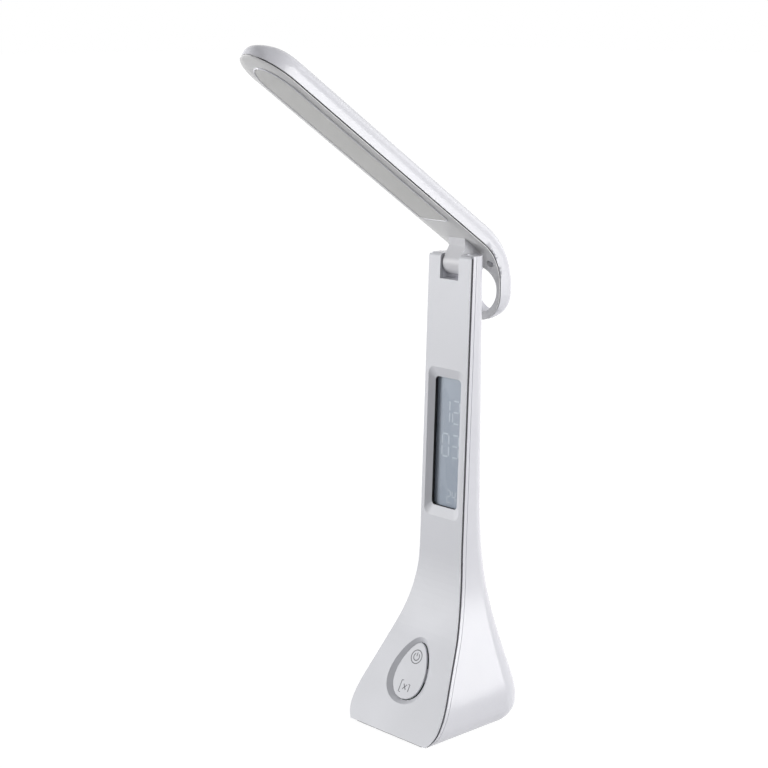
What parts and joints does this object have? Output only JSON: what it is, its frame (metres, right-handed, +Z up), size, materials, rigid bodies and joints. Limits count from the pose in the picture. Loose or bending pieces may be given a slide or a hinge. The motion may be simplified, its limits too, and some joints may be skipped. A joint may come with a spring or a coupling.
{
  "type": "desk_lamp",
  "caption": "Slim white folding desk lamp with a flared foot, tall clock display, rocker key and a flat lamp arm with a finger loop",
  "frame": {"origin": "middle of the foot's underside, on the table", "axes": "+Z up the column, -Y the front with the display, +X to the right seen from the front"},
  "size_m": [0.0728, 0.1887, 0.4015],
  "materials": {
    "gloss_white_plastic": "glossy white moulding",
    "gloss_grey_plastic": "glossy light grey moulding",
    "satin_grey_plastic": "fine satin light grey moulding",
    "milky_diffuser": "milky translucent sheet",
    "white_tray": "white moulding",
    "clear_window": "clear polished",
    "lcd_glass": "reflective grey LCD",
    "light_guide": "polished light guide",
    "black_plastic": "black moulding",
    "circuit_board": "green solder mask",
    "led_package": "yellow phosphor in white package",
    "screw_steel": "zinc plated",
    "bush_brass": "turned",
    "pad_rubber": "matt black sheet",
    "floor_plastic": "white moulding",
    "ballast_iron": "as cast",
    "cell_can": "sleeved steel can"
  },
  "bodies": {
    "stand": {"front_frame": "gloss_white_plastic", "rear_shell": "gloss_white_plastic", "front_panel": "satin_grey_plastic", "display_window": "clear_window", "lcd_panel": "lcd_glass", "lcd_backlight": "light_guide", "display_bezel": "black_plastic", "display_holder": "black_plastic", "battery_holder": "black_plastic", "key_switches": "black_plastic", "rear_key_switches": "black_plastic", "buzzer": "black_plastic", "display_board": "circuit_board", "main_board": "circuit_board", "rear_key_board": "circuit_board", "charging_board": "circuit_board", "base_screws": "screw_steel", "frame_screws": "screw_steel", "board_screws": "screw_steel", "rear_board_screws": "screw_steel", "hinge_pin": "screw_steel", "key_pin": "screw_steel", "charging_socket": "screw_steel", "hinge_washers": "screw_steel", "base_pad": "pad_rubber", "base_plate": "floor_plastic", "ballast_weight": "ballast_iron", "battery_cell": "cell_can"},
    "arm": {"hinge_knuckle": "gloss_grey_plastic", "hinge_bush": "bush_brass", "knuckle_screws": "screw_steel", "arm_upper_shell": "gloss_white_plastic", "arm_lower_shell": "gloss_grey_plastic", "arm_screws": "screw_steel", "diffuser": "milky_diffuser", "reflector_tray": "white_tray", "led_board": "circuit_board", "leds": "led_package", "led_board_screws": "screw_steel"},
    "rocker": {"key_plate": "satin_grey_plastic"},
    "set_button": {"set_key": "satin_grey_plastic"},
    "up_button": {"up_key": "satin_grey_plastic"},
    "down_button": {"down_key": "satin_grey_plastic"}
  },
  "joints": [
    {"name": "arm_fold", "type": "hinge", "parent": "stand", "child": "arm", "pos_m": [0, 0.0128, 0.2747], "axis": [1, 0, 0], "range_deg": [-6, 120]},
    {"name": "key_rock", "type": "hinge", "parent": "stand", "child": "rocker", "pos_m": [0, -0.02146, 0.03258], "axis": [1, 0, 0], "range_deg": [-2, 2], "stiffness_Nm_per_rad": 0.05},
    {"name": "set_press", "type": "slide", "parent": "stand", "child": "set_button", "axis": [0, -1, 0], "range_m": [0, 0.0006], "stiffness_N_per_m": 100, "springref_m": -0.001},
    {"name": "up_press", "type": "slide", "parent": "stand", "child": "up_button", "axis": [0, -1, 0], "range_m": [0, 0.0006], "stiffness_N_per_m": 100, "springref_m": -0.001},
    {"name": "down_press", "type": "slide", "parent": "stand", "child": "down_button", "axis": [0, -1, 0], "range_m": [0, 0.0006], "stiffness_N_per_m": 100, "springref_m": -0.001}
  ]
}
